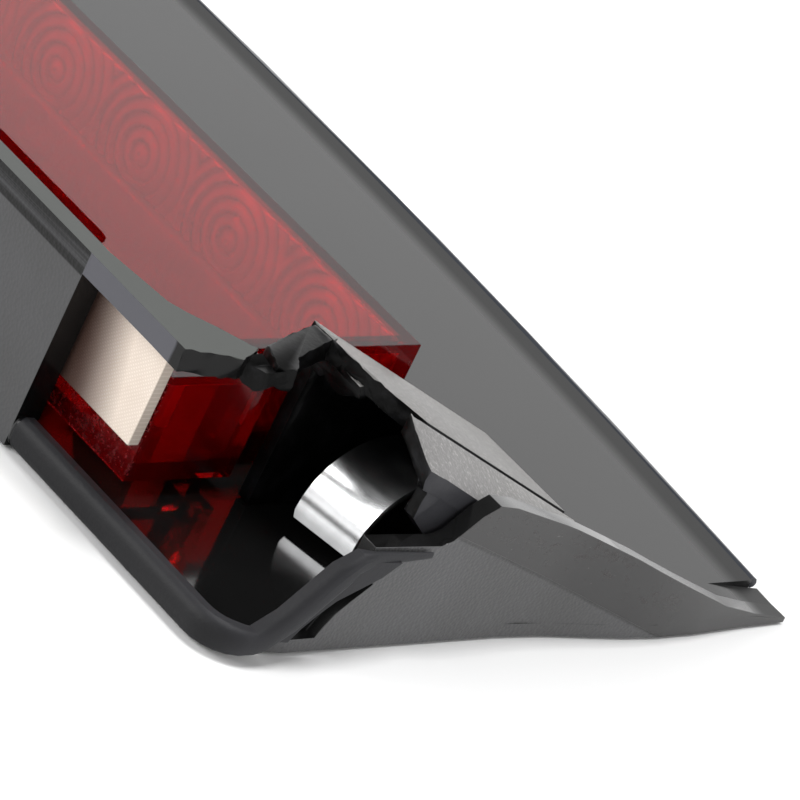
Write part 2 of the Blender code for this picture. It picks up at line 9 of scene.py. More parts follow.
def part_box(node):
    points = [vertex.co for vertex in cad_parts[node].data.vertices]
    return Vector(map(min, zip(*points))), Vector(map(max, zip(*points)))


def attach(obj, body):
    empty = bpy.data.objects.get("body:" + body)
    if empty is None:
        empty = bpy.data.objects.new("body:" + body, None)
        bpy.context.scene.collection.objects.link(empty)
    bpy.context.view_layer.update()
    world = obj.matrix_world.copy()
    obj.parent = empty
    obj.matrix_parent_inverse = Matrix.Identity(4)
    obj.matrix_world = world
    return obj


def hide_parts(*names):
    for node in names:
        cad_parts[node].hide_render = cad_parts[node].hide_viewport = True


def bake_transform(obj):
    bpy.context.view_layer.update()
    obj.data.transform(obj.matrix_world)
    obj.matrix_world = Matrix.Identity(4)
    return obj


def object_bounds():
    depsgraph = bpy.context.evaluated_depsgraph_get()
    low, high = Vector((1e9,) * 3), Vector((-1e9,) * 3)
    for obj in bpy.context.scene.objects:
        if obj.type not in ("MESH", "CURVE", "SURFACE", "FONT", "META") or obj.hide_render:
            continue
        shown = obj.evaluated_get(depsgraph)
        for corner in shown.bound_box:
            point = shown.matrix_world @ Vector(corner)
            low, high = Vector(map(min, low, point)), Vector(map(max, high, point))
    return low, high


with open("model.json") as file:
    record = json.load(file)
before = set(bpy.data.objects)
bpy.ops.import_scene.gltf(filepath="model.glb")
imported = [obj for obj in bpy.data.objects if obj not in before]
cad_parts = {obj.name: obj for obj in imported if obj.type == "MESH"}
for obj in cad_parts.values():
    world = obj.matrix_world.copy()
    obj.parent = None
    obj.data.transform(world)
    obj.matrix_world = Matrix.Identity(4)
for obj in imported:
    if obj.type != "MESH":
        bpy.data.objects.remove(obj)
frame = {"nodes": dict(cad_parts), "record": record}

CAD_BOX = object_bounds()
MM = 0.001
HOUSING = "housing"
noise.seed_set(7)        # without this the torn edges would differ from run to run

# View: the camera looks from behind the right end, rolled so that the lamp runs down the picture.
VIEW_AZIMUTH = 38.19
VIEW_ELEVATION = 25.14
VIEW_ROLL = 26.41
VIEW_DISTANCE = 0.6565
VIEW_LENS = 253.2
VIEW_AIM = Vector((0.11449, 0.00514, 0.00872))

# Light: world brightness in front, behind and overhead, then each lamp's power, place, aim and size
WORLD_FRONT = 1.45
WORLD_BACK = 0.8
WORLD_TOP = 0.18
LIGHTS = {
    "key": (10.0, (-0.8, -0.95, 0.6), (0.1, 0, 0), (0.6, 0.5)),
    "rear": (6.0, (-0.15, -1.2, 0.6), (0.12, 0, 0), (0.6, 0.7)),
    "overhead": (20.0, (0.1, 0.1, 1.7), (0.1, 0, 0), (0.5, 0.5)),
}

# Places that follow from the CAD nodes
LENS_LOW, LENS_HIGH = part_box("lens")
CARRIER_LOW, CARRIER_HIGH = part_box("carrier")
GUARD_LOW, GUARD_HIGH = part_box("guard_right")
LED_NAMES = [name for name in frame["nodes"] if name.startswith("led_")]
LED_X = sorted((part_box(name)[0][0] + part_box(name)[1][0]) / 2 for name in LED_NAMES)
LED_PITCH = LED_X[1] - LED_X[0]
LED_Z = (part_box("led_1")[0][2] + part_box("led_1")[1][2]) / 2
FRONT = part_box("cover")[1][1]             # front of the base, at the middle of its bow
REAR = CARRIER_LOW[1]                     # rear face of the back wall
RAIL_TOP = CARRIER_HIGH[2]
RAIL_LOW = RAIL_TOP - 3.2 * MM            # the rail's rear face lies above this
RIM_TOP = 14.0 * MM                       # the carrier's rims stay below this
LENS_WALL = 1.8 * MM
LENS_END = LED_X[-1] + 15.4 * MM          # end of the narrow front part of the lens
WINDOW_X = LENS_END - 7.8 * MM            # inner side of the windows
SKIRT_X = LENS_END + 22.0 * MM            # the outer side faces of the hoods lie beyond this
OUTSIDE_X = LENS_END + 30.2 * MM          # beyond this the end walls' outer faces begin; outward faces short of it stay plain black, a painted shade in the recess by each end wall's lower back corner
HOOD_REAR = GUARD_LOW[1] + 11.5 * MM      # behind this a hood is bare broken plastic
FRONT_BOW = 0.42                          # how fast the front edge falls back from the middle
PARTING = 26.2 * MM                       # height of the parting line, carried on to the back wall
PARTING_FALL = 0.371                      # how steeply that line drops towards the tip

# Finer features
RING_PITCH = 1.75 * MM
RING_X = 2.3 * MM                         # the rings sit a little to the right of the lamps and below them
RING_Z = LED_Z - 1.2 * MM
RING_CORE = 1.2 * MM                      # a round bump fills the middle of each set of rings
CLOTH_PITCH = 0.57 * MM                   # spacing of the threads in the board
SHADE_FROM = WINDOW_X + 4.0 * MM          # where the painted shadow over the tucked-in end of the board starts to lift
SHADE_TO = WINDOW_X + 12.0 * MM


# ---------------------------------------------------------------- materials

class Nodes:
    """Short way to build a material's node tree."""

    def __init__(self, name):
        self.material = bpy.data.materials.new(name)
        self.material.use_nodes = True
        self.tree = self.material.node_tree
        self.shader = self.tree.nodes["Principled BSDF"]
        self.place = self.add("ShaderNodeTexCoord").outputs["Object"]

    def add(self, kind, **values):
        made = self.tree.nodes.new(kind)
        for key, value in values.items():
            setattr(made, key, value)
        return made

    def link(self, source, target):
        self.tree.links.new(source, target)

    def feed(self, name, source):
        """Connect a field to one of the shader's inputs."""
        self.link(source, self.shader.inputs[name])

    def fed(self, name):
        """What feeds one of the shader's inputs so far."""
        return self.shader.inputs[name].links[0].from_socket

    def set(self, **values):
        for key, value in values.items():
            socket = self.shader.inputs[key.replace("_", " ")]
            socket.default_value = (*value, 1.0) if isinstance(value, tuple) else value

    def noise(self, scale, detail=3.0, rough=0.55, stretch=None):
        made = self.add("ShaderNodeTexNoise")
        made.inputs["Scale"].default_value = scale
        made.inputs["Detail"].default_value = detail
        made.inputs["Roughness"].default_value = rough
        self.link(self.stretched(stretch), made.inputs["Vector"])
        return made.outputs["Fac"]

    def stretched(self, stretch):
        if stretch is None:
            return self.place
        made = self.add("ShaderNodeMapping")
        made.inputs["Scale"].default_value = stretch
        self.link(self.place, made.inputs["Vector"])
        return made.outputs["Vector"]

    def cells(self, scale):
        made = self.add("ShaderNodeTexVoronoi")
        made.inputs["Scale"].default_value = scale
        self.link(self.place, made.inputs["Vector"])
        return made.outputs["Distance"]

    def ramp(self, source, low, high, start=0.0, end=1.0):
        made = self.add("ShaderNodeMapRange")
        made.inputs["From Min"].default_value = low
        made.inputs["From Max"].default_value = high
        made.inputs["To Min"].default_value = start
        made.inputs["To Max"].default_value = end
        self.link(source, made.inputs["Value"])
        return made.outputs["Result"]

    def math(self, operation, first, second=None):
        made = self.add("ShaderNodeMath", operation=operation)
        for socket, value in zip(made.inputs, (first, second)):
            if value is None:
                continue
            if isinstance(value, (int, float)):
                socket.default_value = value
            else:
                self.link(value, socket)
        return made.outputs["Value"]

    def times(self, first, *others):
        for other in others:
            first = self.math("MULTIPLY", first, other)
        return first

    def reach(self, across, rise):
        """Distance from a point, given the two offsets from it."""
        return self.math("SQRT", self.math("ADD", self.times(across, across), self.times(rise, rise)))

    def mix(self, factor, first, second):
        made = self.add("ShaderNodeMix", data_type="RGBA")
        self.link(factor, made.inputs["Factor"])
        for socket, value in ((made.inputs[6], first), (made.inputs[7], second)):
            if isinstance(value, tuple):
                socket.default_value = (*value, 1.0)
            else:
                self.link(value, socket)
        return made.outputs[2]

    def bump(self, *layers):
        """Each layer is (height, depth in metres, strength)."""
        normal = None
        for height, depth, strength in layers:
            made = self.add("ShaderNodeBump")
            made.inputs["Distance"].default_value = depth
            made.inputs["Strength"].default_value = strength
            self.link(height, made.inputs["Height"])
            if normal is not None:
                self.link(normal, made.inputs["Normal"])
            normal = made.outputs["Normal"]
        self.link(normal, self.shader.inputs["Normal"])


def masks(n):
    """Handy fields of a piece: where it is, which way it faces, and which side of the lamp it is on."""
    facing = n.add("ShaderNodeSeparateXYZ")
    n.link(n.add("ShaderNodeNewGeometry").outputs["Normal"], facing.inputs[0])
    where = n.add("ShaderNodeSeparateXYZ")
    n.link(n.place, where.inputs[0])
    side = n.math("SIGN", where.outputs["X"])
    return {"nx": n.times(facing.outputs["X"], side), "ny": facing.outputs["Y"], "nz": facing.outputs["Z"],
            "x": n.math("ABSOLUTE", where.outputs["X"]), "y": where.outputs["Y"], "z": where.outputs["Z"],
            "along": where.outputs["X"]}


def black_surface(n, grained, glossy_rough, grain_rough=0.5, grain_tone=0.05, tone=0.003, depth=1.0):
    """Deep black gloss that turns into lighter leather grain where the mask is 1."""
    broad = n.ramp(n.noise(45, 4), 0.3, 0.75)
    cells = n.cells(2100)
    fine = n.noise(4200, 3)
    grey = n.mix(broad, (grain_tone,) * 3, tuple(grain_tone * c for c in (1.25, 1.25, 1.3)))
    black = n.mix(broad, (tone,) * 3, (tone * 1.3,) * 3)
    n.feed("Base Color", n.mix(grained, black, grey))
    smooth = n.math("ADD", glossy_rough, n.times(broad, 0.03))
    gap = n.math("SUBTRACT", grain_rough, smooth)
    n.feed("Roughness", n.math("ADD", smooth, n.times(gap, grained)))
    n.set(IOR=1.5)
    leather = n.times(cells, grained)
    haze = n.times(fine, n.math("ADD", 0.08, n.times(grained, 0.7)))
    return [(leather, 0.14 * MM * depth, 0.7), (haze, 0.05 * MM * depth, 0.6)]


def shroud_plastic():
    """The shroud: grained end walls and underside, satin inside, smoother band along each fin's edge."""
    n = Nodes("shroud_black")
    m = masks(n)
    up = n.ramp(m["nz"], 0.5, 0.8)
    below = n.ramp(m["nz"], -0.3, -0.6)
    # grain and grey tones only beyond OUTSIDE_X; the recessed outward faces short of it keep the black as
    # painted shade
    outer = n.times(n.ramp(m["nx"], 0.3, 0.6), n.ramp(m["x"], OUTSIDE_X, OUTSIDE_X + 0.4 * MM))
    # a fine parting line runs down the fin; the grain is coarse below it
    level = n.math("ADD", m["z"], n.times(n.math("SUBTRACT", m["y"], REAR), PARTING_FALL))
    under_line = n.ramp(level, PARTING + 0.3 * MM, PARTING - 0.3 * MM)
    coarse = n.math("MAXIMUM", below, n.times(outer, under_line))
    layers = black_surface(n, coarse, 0.24, 0.55, 0.075, 0.006)
    off_line = n.math("ABSOLUTE", n.math("SUBTRACT", level, PARTING))
    seam = n.times(outer, n.ramp(off_line, 0.25 * MM, 0.0))
    # above it the fin is smooth and scuffed
    band = n.times(outer, n.math("SUBTRACT", 1.0, coarse))
    scuffs = n.ramp(n.noise(500, 5, 0.75, (0.3, 1.0, 1.5)), 0.56, 0.70)
    worn = n.times(scuffs, band, n.ramp(level, PARTING + 1.0 * MM, PARTING + 4.0 * MM))
    scratches = n.ramp(n.noise(1300, 3, 0.8, (0.2, 0.5, 1.6)), 0.70, 0.76)
    tone = n.mix(n.times(band, 0.85), n.fed("Base Color"), (0.034, 0.033, 0.033))
    tone = n.mix(n.times(worn, 0.8), tone, (0.012, 0.004, 0.004))
    n.feed("Base Color", n.mix(n.times(scratches, band, 0.4), tone, (0.3, 0.29, 0.28)))
    # the base is duller along its bowed front edge, and glossy in the clip pockets
    inset = n.math("ADD", m["y"], n.times(m["x"], m["x"], FRONT_BOW))
    brink = n.times(up, n.ramp(inset, FRONT - 4.5 * MM, FRONT - 2.0 * MM))
    pocket = n.times(up, n.ramp(m["x"], WINDOW_X, WINDOW_X + 1.0 * MM),
                     n.ramp(m["y"], GUARD_HIGH[1] - 3.0 * MM, GUARD_HIGH[1] - 4.0 * MM))
    rough = n.math("ADD", n.fed("Roughness"), n.times(brink, 0.35))
    n.feed("Roughness", n.math("SUBTRACT", rough, n.times(pocket, 0.17)))
    n.bump(*layers, (seam, -0.15 * MM, 0.9), (n.times(worn, scuffs), 0.08 * MM, 0.4))
    return n.material


def carrier_plastic():
    """The carrier: grained rear wall, matt rims with painted shade on their rear-facing side, a grooved
    rail, and gloss everywhere else.
    """
    n = Nodes("carrier_black")
    m = masks(n)
    rearward = n.ramp(m["ny"], -0.5, -0.8)
    back = n.times(rearward, n.ramp(m["y"], REAR + 0.6 * MM, REAR + 0.3 * MM),
                   n.ramp(m["x"], WINDOW_X + 0.3 * MM, WINDOW_X))
    layers = black_surface(n, back, 0.2, depth=0.45)
    rim = n.times(n.ramp(m["x"], WINDOW_X + 0.2 * MM, WINDOW_X + 0.6 * MM),
                  n.ramp(m["z"], RIM_TOP + 0.5 * MM, RIM_TOP))
    matt = n.mix(n.noise(300, 3), (0.020, 0.020, 0.022), (0.030, 0.030, 0.034))
    # painted shade: the rims are darker on their rear-facing faces
    matt = n.mix(n.ramp(m["ny"], -0.3, -0.9), matt, (0.007, 0.007, 0.008))
    tone = n.mix(rim, n.fed("Base Color"), matt)
    flat = n.mix(n.noise(90, 4), (0.030, 0.034, 0.030), (0.042, 0.046, 0.042))
    rail_top = n.times(n.ramp(m["nz"], 0.75, 0.95), n.ramp(m["z"], RAIL_TOP - 1.5 * MM, RAIL_TOP - 0.5 * MM))
    tone = n.mix(rail_top, tone, flat)
    # the rail's rear face is smooth and grey above the windows, and grooved between them
    lintel = n.times(rearward, n.ramp(m["z"], RAIL_LOW - 0.3 * MM, RAIL_LOW),
                     n.ramp(m["x"], WINDOW_X - 0.1 * MM, WINDOW_X),
                     n.ramp(m["x"], LENS_END + 9.0 * MM, LENS_END + 8.6 * MM))
    tone = n.mix(lintel, tone, (0.07, 0.07, 0.08))
    step = n.times(rearward, n.ramp(m["z"], RAIL_LOW, RAIL_LOW + 0.2 * MM),
                   n.ramp(m["x"], WINDOW_X, WINDOW_X - 0.1 * MM))
    groove = n.ramp(n.noise(600, 4, 0.6, (0.02, 1.0, 2.5)), 0.5, 0.62)
    grooved = n.mix(groove, (0.006, 0.006, 0.006), (0.035, 0.035, 0.037))
    n.feed("Base Color", n.mix(step, tone, grooved))
    n.set(Specular_IOR_Level=0.22)
    n.feed("Roughness", n.math("MAXIMUM", n.fed("Roughness"), n.times(rim, 0.55)))
    n.bump(*layers, (n.times(n.noise(1400, 4, 0.7), rim), 0.1 * MM, 0.6))
    return n.material


def guard_plastic():
    """The hoods: lighter, speckled up-facing faces and gloss where the plastic broke."""
    n = Nodes("guard_black")
    m = masks(n)
    hood = n.times(n.ramp(m["nz"], 0.5, 0.8), n.ramp(m["y"], HOOD_REAR, HOOD_REAR + 1.0 * MM))
    layers = black_surface(n, n.times(hood, 0.35), 0.3, tone=0.002)
    n.set(Specular_IOR_Level=0.12)
    speck = n.ramp(n.noise(1900, 3, 0.75), 0.52, 0.70)
    # the up-facing hood faces are made lighter, more so at the specks
    lighter_top = n.times(n.math("ADD", 0.45, n.times(speck, 0.5)), hood)
    smudge = n.ramp(n.noise(330, 5, 0.7), 0.5, 0.7)
    skirt = n.times(n.ramp(m["nx"], 0.15, 0.4), n.ramp(m["x"], SKIRT_X - 2.0 * MM, SKIRT_X))
    tone = n.mix(skirt, n.fed("Base Color"), (0.045, 0.045, 0.05))
    tone = n.mix(n.times(smudge, 0.4), tone, (0.02, 0.02, 0.023))
    n.feed("Base Color", n.mix(lighter_top, tone, (0.36, 0.35, 0.34)))
    n.bump(*layers, (n.noise(700, 4, 0.65), 0.12 * MM, 0.35))
    return n.material


def lens_plastic():
    """Clear red plastic, with dark front and end walls and a frosted moulding edge round the board."""
    n = Nodes("lens_red_clear")
    m = masks(n)
    up = n.ramp(m["nz"], 0.5, 0.7)
    edge = n.ramp(m["y"], LENS_LOW[1] + 0.9 * MM, LENS_LOW[1] + 0.2 * MM)
    chips = n.times(edge, n.ramp(n.noise(1500, 3, 0.7), 0.45, 0.6))
    front = n.ramp(m["y"], LENS_HIGH[1] - 2.2 * MM, LENS_HIGH[1] - 1.8 * MM)
    end = n.ramp(m["x"], LENS_END - 2.1 * MM, LENS_END - 1.8 * MM)
    flange = n.times(n.math("MAXIMUM", front, end), up)
    # the bottom of the lens darkens towards the ringed wall
    bottom = n.times(n.ramp(m["z"], LENS_LOW[2] + 3.2 * MM, LENS_LOW[2] + 2.5 * MM),
                     n.ramp(m["y"], LENS_LOW[1] + 5.0 * MM, LENS_LOW[1] + 12.0 * MM))
    red = n.mix(n.ramp(n.noise(140, 3), 0.3, 0.7), (0.80, 0.004, 0.010), (0.72, 0.003, 0.008))
    red = n.mix(flange, red, (0.12, 0.006, 0.012))
    red = n.mix(bottom, red, (0.22, 0.001, 0.002))
    n.feed("Base Color", n.mix(n.times(chips, 0.3), red, (0.85, 0.25, 0.27)))
    rough = n.ramp(n.noise(200, 3), 0.3, 0.8, 0.0, 0.02)
    n.feed("Roughness", n.math("ADD", rough, n.times(chips, 0.3)))
    n.set(Transmission_Weight=0.93, IOR=1.42, Specular_Tint=(0.1, 0.1, 0.1))
    n.bump((chips, 0.1 * MM, 0.3))
    return n.material


def optics_plastic():
    """The ringed inner face of the lens, with a painted highlight on the crests and painted shade in the
    furrows.
    """
    n = Nodes("lens_red_rings")
    m = masks(n)
    column = n.math("FRACT", n.math("DIVIDE", n.math("SUBTRACT", m["along"], RING_X), LED_PITCH))
    across = n.times(n.math("SUBTRACT", column, 0.5), LED_PITCH)
    rise = n.math("SUBTRACT", m["z"], RING_Z)
    phase = n.math("FRACT", n.times(n.reach(across, rise), 1 / RING_PITCH))
    crest = n.times(n.ramp(phase, 0.0, 0.25), n.ramp(phase, 0.85, 0.5))
    patch = n.ramp(n.noise(160, 4), 0.35, 0.65)
    # painted highlight on the ring crests; the furrows keep the dark red as painted shade
    ring_highlight = n.times(crest, n.math("ADD", 0.3, n.times(patch, 0.5)))
    # a painted highlight makes each set of rings brightest to the left of its middle and below it
    spot = n.reach(n.math("ADD", across, 1.2 * MM), n.math("ADD", rise, 2.2 * MM))
    ring_highlight = n.math("ADD", ring_highlight, n.times(crest, n.ramp(spot, 4.5 * MM, 1.0 * MM)))
    rings = n.mix(ring_highlight, (0.30, 0.0, 0.002), (1.0, 0.05, 0.07))
    fade = n.ramp(m["z"], LENS_LOW[2] + 1.5 * MM, LENS_LOW[2] + 8.0 * MM)
    n.feed("Base Color", n.mix(fade, (0.42, 0.01, 0.015), rings))
    n.set(Transmission_Weight=0.15, IOR=1.49, Roughness=0.12)
    n.bump((crest, 0.2 * MM, 0.8), (n.noise(90, 2), 0.03 * MM, 0.25))
    return n.material


def laminate():
    """Bare glass-fibre board: cream resin over a plain weave, with a painted shadow over its tucked-in end.
    """
    n = Nodes("board_laminate")
    m = masks(n)
    turns = 2 * math.pi / CLOTH_PITCH
    warp = n.math("SINE", n.times(m["along"], turns))
    weft = n.math("SINE", n.times(m["z"], turns))
    threads = n.math("ADD", n.math("ABSOLUTE", warp), n.math("ABSOLUTE", weft))
    cloth = n.math("ADD", n.times(warp, weft, 0.35), n.times(threads, 0.4))
    # painted shadow: resin and threads darken towards the board's tucked-in end, under the window's jamb
    place = n.math("ADD", m["x"], n.times(m["z"], 0.25))
    shade = n.math("POWER", n.ramp(place, SHADE_FROM, SHADE_TO), 1.6)
    resin = n.mix(n.ramp(n.noise(220, 3), 0.35, 0.7), (0.66, 0.57, 0.50), (0.72, 0.64, 0.57))
    resin = n.mix(shade, (0.09, 0.05, 0.04), resin)
    thread = n.mix(shade, (0.07, 0.04, 0.03), (0.50, 0.41, 0.33))
    n.feed("Base Color", n.mix(n.ramp(cloth, -0.3, 1.1), thread, resin))
    n.set(Roughness=0.42, IOR=1.5, Coat_Weight=0.15, Coat_Roughness=0.2)
    n.bump((cloth, 0.05 * MM, 0.5), (n.noise(3000, 2), 0.02 * MM, 0.3))
    return n.material


def metal(name, colour, rough, scratches=0.3, run=(1.0, 12.0, 12.0)):
    """Rolled or plated metal with fine scratches that run along one axis."""
    n = Nodes(name)
    lines = n.noise(1600, 4, 0.7, run)
    cloud = n.noise(260, 3)
    darker = tuple(c * 0.82 for c in colour)
    n.feed("Base Color", n.mix(n.ramp(cloud, 0.35, 0.75), colour, darker))
    n.feed("Roughness", n.ramp(lines, 0.3, 0.75, rough, rough + 0.12))
    n.set(Metallic=1.0)
    n.bump((lines, 0.02 * MM, scratches), (cloud, 0.08 * MM, 0.15))
    return n.material


def plain_plastic(name, colour, rough):
    """Small moulded parts: even colour with a trace of mottling."""
    n = Nodes(name)
    cloud = n.noise(300, 3)
    darker = tuple(c * 0.8 for c in colour)
    n.feed("Base Color", n.mix(n.ramp(cloud, 0.3, 0.7), colour, darker))
    n.feed("Roughness", n.ramp(cloud, 0.3, 0.7, rough, rough + 0.1))
    n.bump((n.noise(2500, 3), 0.03 * MM, 0.3))
    return n.material


def floor_paint():
    """Pale matt paint with a very faint mottling."""
    n = Nodes("floor_white")
    n.feed("Base Color", n.mix(n.noise(8, 3), (0.86, 0.86, 0.86), (0.9, 0.9, 0.9)))
    n.set(Roughness=0.7)
    return n.material


# ---------------------------------------------------------------- shape helpers

def make(name, form, finish, body=HOUSING, replaced=(), smooth=35, weighted=False):
    """Turn a bmesh into a piece that rides on a body."""
    mesh = bpy.data.meshes.new(name)
    form.to_mesh(mesh)
    form.free()
    mesh.shade_smooth()
    mesh.set_sharp_from_angle(angle=math.radians(smooth))
    mesh.materials.append(finish)
    piece = bpy.data.objects.new(name, mesh)
    bpy.context.scene.collection.objects.link(piece)
    if weighted:
        even = piece.modifiers.new("even_shading", "WEIGHTED_NORMAL")
        even.keep_sharp = True
    if body:
        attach(piece, body)
    if replaced:
        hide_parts(*replaced)
    return piece


def cleaned(node):
    """A node's solid as a bmesh, with its flat faces whole again."""
    form = bmesh.new()
    form.from_mesh(frame["nodes"][node].data)
    bmesh.ops.remove_doubles(form, verts=form.verts, dist=0.000005)
    bmesh.ops.dissolve_limit(form, angle_limit=math.radians(1.0), verts=form.verts, edges=form.edges)
    return form


def bevelled(form, width, angle=25, segments=2, keep=None):
    """Round every edge sharper than the angle, or only those that keep() accepts."""
    edges = []
    for edge in form.edges:
        if len(edge.link_faces) != 2:
            continue
        if edge.calc_face_angle(0.0) < math.radians(angle):
            continue
        if keep and not keep(edge):
            continue
        edges.append(edge)
    bmesh.ops.bevel(form, geom=edges, offset=width, offset_type="OFFSET", segments=segments, profile=0.5,
                    affect="EDGES", clamp_overlap=True)
    return form


def rounded(node, width, finish):
    """A copy of a node with its edges rounded, shown in the node's place."""
    return make(node + "_shown", bevelled(cleaned(node), width), finish, body_of(node), (node,),
                weighted=True)


def ragged(form, broken, amount, size):
    """Split the faces round a break and push their points about, as torn plastic does."""
    for cuts in (3, 1):
        near = [edge for edge in form.edges if any(broken(vert.co) for vert in edge.verts)
                and edge.calc_length() > size]
        bmesh.ops.subdivide_edges(form, edges=near, cuts=cuts, use_grid_fill=True)
    for vert in form.verts:
        share = broken(vert.co)
        if share:
            push = noise.noise_vector(vert.co * 900) * 0.65 + noise.noise_vector(vert.co * 2600) * 0.35
            vert.co += push * (amount * share)
    return form


def guard_piece(tag, finish):
    """A hood with a ragged, burred edge where its rear wall broke off."""
    name = "guard_" + tag
    break_line = GUARD_LOW[1] + 9.5 * MM
    sound_from = break_line + 7.5 * MM
    fade = 6.0 * MM
    whole_below = 13 * MM

    def broken(spot):
        if spot.z < whole_below:
            return 0.0
        return min(1.0, max(0.0, (sound_from - spot.y) / fade))

    form = bevelled(cleaned(name), 0.25 * MM)
    ragged(form, broken, 0.45 * MM, 1.0 * MM)
    return make(name + "_shown", form, finish, HOUSING, (name,), smooth=48)


def carrier_piece(finish):
    """The carrier, with a ragged end to its rail where the hood's web broke away."""
    sound_end = 6.0 * MM
    fade = 3.0 * MM
    whole_below = 20 * MM

    def broken(spot):
        if spot.z < whole_below:
            return 0.0
        return min(1.0, max(0.0, (abs(spot.x) - LENS_END - sound_end) / fade))

    form = bevelled(cleaned("carrier"), 0.3 * MM)
    ragged(form, broken, 0.4 * MM, 1.0 * MM)
    return make("carrier_shown", form, finish, HOUSING, ("carrier",), smooth=48,
                weighted=True)


def torn_web(tag, side, finish):
    """Thin torn membrane that still hangs between the rail's end and the hood."""
    rail_x = side * (LENS_END + 11.2 * MM)
    hood_x = side * (LENS_END + 14.0 * MM)
    top = CARRIER_HIGH[2] - 0.5 * MM
    section = ((-1.5, 0.0), (1.3, 0.1), (1.0, -1.6), (-1.0, -2.4))     # across and rise, in mm
    form = bmesh.new()
    rows = []
    steps = 12
    for step in range(steps + 1):
        share = step / steps
        x = rail_x + (hood_x - rail_x) * share
        y = REAR + (9.4 + 2.6 * share) * MM
        sag = 0.8 * MM * math.sin(math.pi * share)
        ring = []
        for across, rise in section:
            spot = Vector((x, y + across * MM, top + rise * MM - sag))
            spot += noise.noise_vector(spot * 700) * 0.5 * MM
            ring.append(form.verts.new(spot))
        rows.append(ring)
    close_rows(form, rows)
    return make("torn_web_" + tag, form, finish, smooth=50)


def close_rows(form, rows):
    """Join rings of points into a closed skin."""
    count = len(rows[0])
    for first, second in zip(rows, rows[1:]):
        for index in range(count):
            after = (index + 1) % count
            form.faces.new((first[index], first[after], second[after], second[index]))
    form.faces.new(rows[0][::-1])
    form.faces.new(rows[-1])
    bmesh.ops.recalc_face_normals(form, faces=form.faces)


def body_of(node):
    """The name of the body that a node belongs to."""
    for body, members in frame["record"]["behaviour"]["bodies"].items():
        if node in members:
            return body
    raise KeyError(node)


def shroud_piece(finish):
    """The shroud with a generous radius along the top of each end wall and small ones elsewhere."""
    form = cleaned("cover")
    fins_from = LENS_END + 28 * MM
    above_base = 2.4 * MM

    def fin_top(edge):
        middle = (edge.verts[0].co + edge.verts[1].co) / 2
        return abs(middle.x) > fins_from and middle.z > above_base

    bevelled(form, 0.85 * MM, 30, 3, fin_top)
    bevelled(form, 0.25 * MM, 50, 2, lambda edge: not fin_top(edge))
    return make("cover_shown", form, finish, HOUSING, ("cover",), weighted=True)


# ---------------------------------------------------------------- view, light and floor

def camera():
    """Place the camera by two angles, a roll and a distance from the point that it looks at."""
    azimuth = math.radians(VIEW_AZIMUTH)
    elevation = math.radians(VIEW_ELEVATION)
    back = Vector((math.sin(azimuth) * math.cos(elevation),
                   -math.cos(azimuth) * math.cos(elevation), math.sin(elevation)))
    level = Vector((math.cos(azimuth), math.sin(azimuth), 0.0))
    up = back.cross(level)
    turn = math.radians(VIEW_ROLL)
    right = level * math.cos(turn) + up * math.sin(turn)
    top = back.cross(right)
    data = bpy.data.cameras.new("camera")
    data.sensor_width = 36.0
    data.lens = VIEW_LENS
    data.clip_end = 20.0
    made = bpy.data.objects.new("camera", data)
    bpy.context.scene.collection.objects.link(made)
    axes = Matrix((right, top, back)).transposed()
    made.matrix_world = Matrix.Translation(VIEW_AIM + back * VIEW_DISTANCE) @ axes.to_4x4()
    bpy.context.scene.camera = made


def soft_light(name, power, place, aim, size):
    """White rectangular area light that faces a point."""
    data = bpy.data.lights.new(name, "AREA")
    data.shape = "RECTANGLE"
    data.size, data.size_y = size
    data.energy = power
    made = bpy.data.objects.new(name, data)
    bpy.context.scene.collection.objects.link(made)
    direction = Vector(aim) - Vector(place)
    facing = direction.to_track_quat("-Z", "Y").to_matrix()
    made.matrix_world = Matrix.Translation(place) @ facing.to_4x4()


def studio():
    """World brightest in front and dark overhead, and the soft lights: rear left, rear and overhead."""
    world = bpy.data.worlds.new("studio")
    bpy.context.scene.world = world
    world.use_nodes = True
    tree = world.node_tree
    background = tree.nodes["Background"]
    parts = tree.nodes.new("ShaderNodeSeparateXYZ")
    tree.links.new(tree.nodes.new("ShaderNodeTexCoord").outputs["Generated"], parts.inputs[0])

    def spread(source, low, high, start, end):
        made = tree.nodes.new("ShaderNodeMapRange")
        made.interpolation_type = "SMOOTHSTEP"
        for name, value in (("From Min", low), ("From Max", high), ("To Min", start), ("To Max", end)):
            made.inputs[name].default_value = value
        tree.links.new(source, made.inputs["Value"])
        return made.outputs["Result"]

    ahead = spread(parts.outputs["Y"], -0.4, 0.7, WORLD_BACK, WORLD_FRONT)
    low = spread(parts.outputs["Z"], 0.42, 0.80, 1.0, WORLD_TOP)
    product = tree.nodes.new("ShaderNodeMath")
    product.operation = "MULTIPLY"
    tree.links.new(ahead, product.inputs[0])
    tree.links.new(low, product.inputs[1])
    background.inputs["Color"].default_value = (1, 1, 1, 1)
    tree.links.new(product.outputs[0], background.inputs["Strength"])
    for name, (power, place, aim, size) in LIGHTS.items():
        soft_light(name, power, place, aim, size)
    bpy.context.scene.view_settings.view_transform = "Standard"


def floor():
    """A wide pale floor just under the part."""
    gap = 0.3 * MM
    form = bmesh.new()
    bmesh.ops.create_grid(form, x_segments=8, y_segments=8, size=4.0,
                          matrix=Matrix.Translation((0, 0, CAD_BOX[0][2] - gap)))
    piece = make("floor", form, floor_paint(), body=None)


# ---------------------------------------------------------------- lens

def ring_height(x, z):
    """Sawtooth rings round the nearest lamp's axis, as a share of the ring depth."""
    nearest = min(LED_X, key=lambda lamp: abs(lamp + RING_X - x)) + RING_X
    radius = math.hypot(x - nearest, z - RING_Z)
    if radius < RING_CORE:
        return 1.0 - (radius / RING_CORE) ** 2
    return 1.0 - (radius / RING_PITCH) % 1.0


